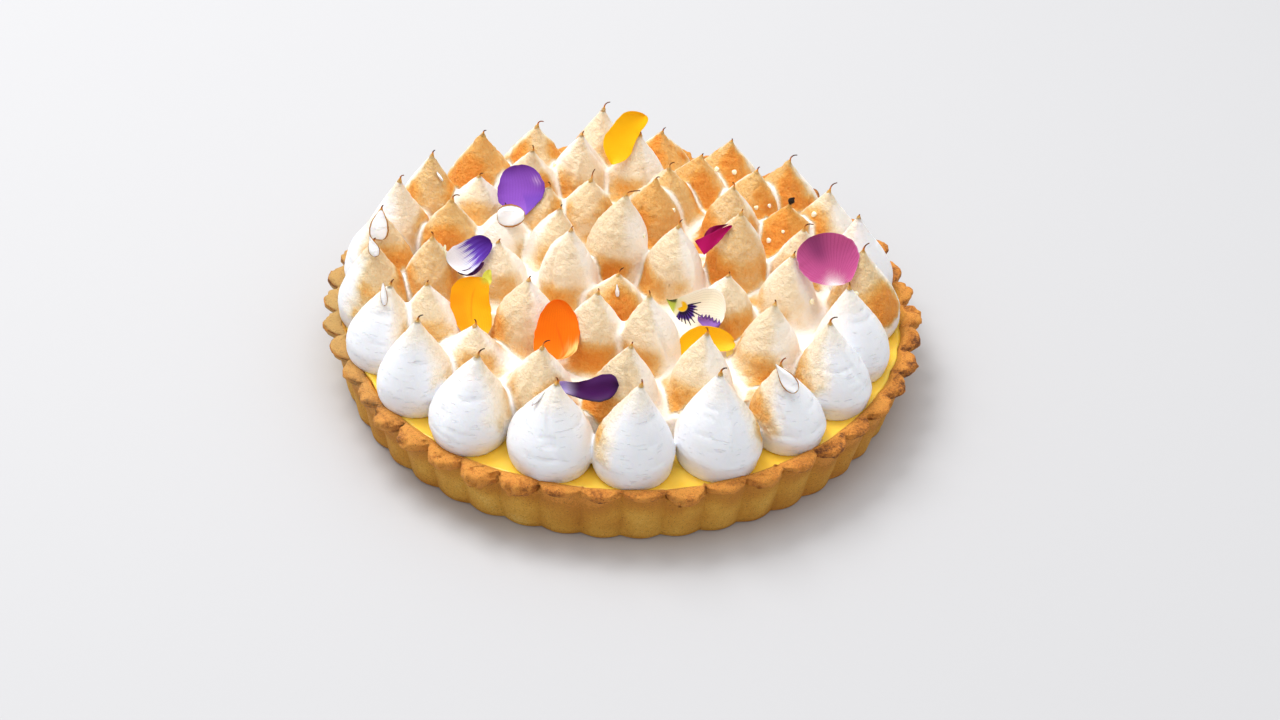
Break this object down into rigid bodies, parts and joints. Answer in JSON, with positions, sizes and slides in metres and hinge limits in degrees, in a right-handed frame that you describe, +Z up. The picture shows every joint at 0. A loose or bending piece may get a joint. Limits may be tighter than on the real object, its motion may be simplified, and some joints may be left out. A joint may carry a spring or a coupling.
{
  "type": "lemon meringue pie",
  "caption": "Round lemon tart in a fluted shortcrust case, filled with lemon curd and topped with toasted piped meringue kisses and loose flower petals.",
  "frame": {"origin": "middle of the underside, where the pie rests", "axes": "+Z up, -Y towards the front of the pie, +X to its right seen from the front"},
  "size_m": [0.2355, 0.2341, 0.0695],
  "materials": {
    "crust": "baked shortcrust, matt and crumbly",
    "curd": "set lemon curd, smooth and slightly glossy",
    "meringue": "white meringue, toasted golden brown by a flame",
    "petal_amber": "fresh amber petal, soft satin",
    "petal_yellow": "fresh yellow petal, soft satin",
    "petal_orange": "fresh orange petal, soft satin",
    "petal_purple": "fresh purple petal, velvety",
    "petal_violet": "fresh violet and white petal, velvety",
    "petal_aubergine": "fresh dark purple petal, velvety",
    "petal_magenta": "fresh magenta petal, soft satin",
    "petal_mauve": "fresh mauve petal with fine veins",
    "petal_cream": "fresh cream petal with a yellow and purple throat"
  },
  "bodies": {
    "root": {"crust": "crust", "lemon_curd": "curd", "meringue": "meringue", "petal_amber_back": "petal_amber", "petal_amber_left": "petal_amber", "petal_yellow": "petal_yellow", "petal_orange": "petal_orange", "petal_purple_round": "petal_purple", "petal_lilac_scrap": "petal_violet", "petal_violet_curled": "petal_violet", "petal_aubergine": "petal_aubergine", "petal_magenta": "petal_magenta", "petal_mauve": "petal_mauve", "petal_cream": "petal_cream"}
  },
  "joints": []
}
